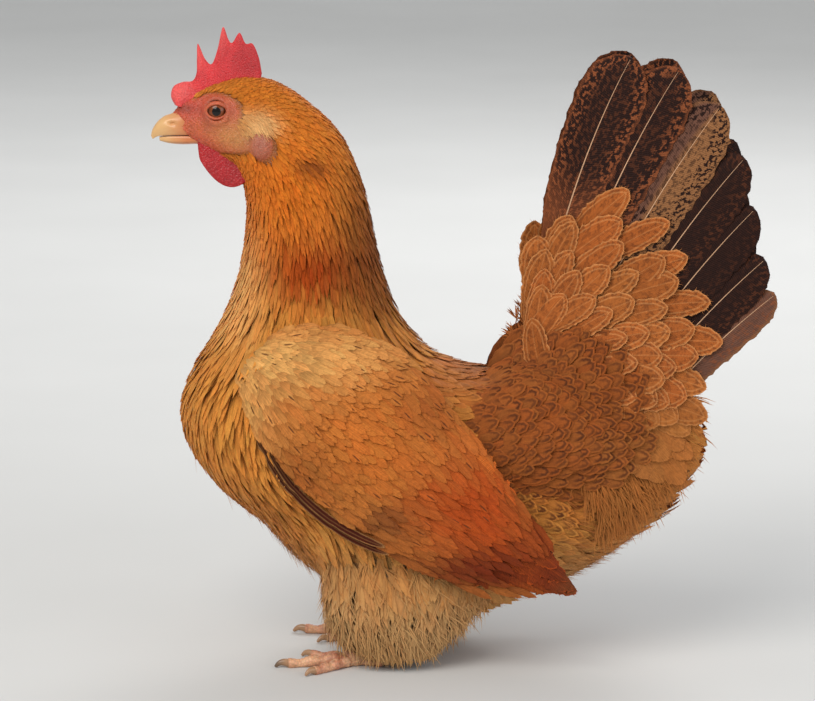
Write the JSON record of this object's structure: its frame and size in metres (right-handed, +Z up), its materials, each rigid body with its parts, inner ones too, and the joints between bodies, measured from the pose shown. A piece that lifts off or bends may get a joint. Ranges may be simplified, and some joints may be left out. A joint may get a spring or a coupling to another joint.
{
  "type": "bantam chicken",
  "caption": "Small golden-brown bantam hen standing on very short legs, with red comb and wattles, folded wings and a tall upright fan of laced and mottled tail feathers.",
  "frame": {"origin": "middle of the bounding box in X and Y, on the floor that the hen stands on", "axes": "the bill points along -X and the tail along +X, +Y is the hen's right side, +Z is up"},
  "size_m": [0.2994, 0.1274, 0.306],
  "materials": {
    "plumage_gold": "matte",
    "plumage_wing": "matte",
    "plumage_tail": "matte",
    "fluff": "matte",
    "comb_red": "satin",
    "bill_horn": "satin",
    "eye_brown": "gloss",
    "foot_skin": "matte",
    "claw_horn": "satin"
  },
  "bodies": {
    "root": {"torso": "plumage_gold", "neck": "plumage_gold", "head": "plumage_gold", "bill_upper": "bill_horn", "bill_lower": "bill_horn", "comb": "comb_red", "wattle_left": "comb_red", "wattle_right": "comb_red", "eye_left": "eye_brown", "eye_right": "eye_brown", "wing_left": "plumage_wing", "wing_right": "plumage_wing", "tail_left": "plumage_tail", "tail_right": "plumage_tail", "thigh_left": "fluff", "thigh_right": "fluff", "shank_left": "foot_skin", "shank_right": "foot_skin", "foot_left": "foot_skin", "foot_right": "foot_skin", "claw_middle_left": "claw_horn", "claw_inner_left": "claw_horn", "claw_outer_left": "claw_horn", "claw_hind_left": "claw_horn", "claw_middle_right": "claw_horn", "claw_inner_right": "claw_horn", "claw_outer_right": "claw_horn", "claw_hind_right": "claw_horn"}
  },
  "joints": []
}
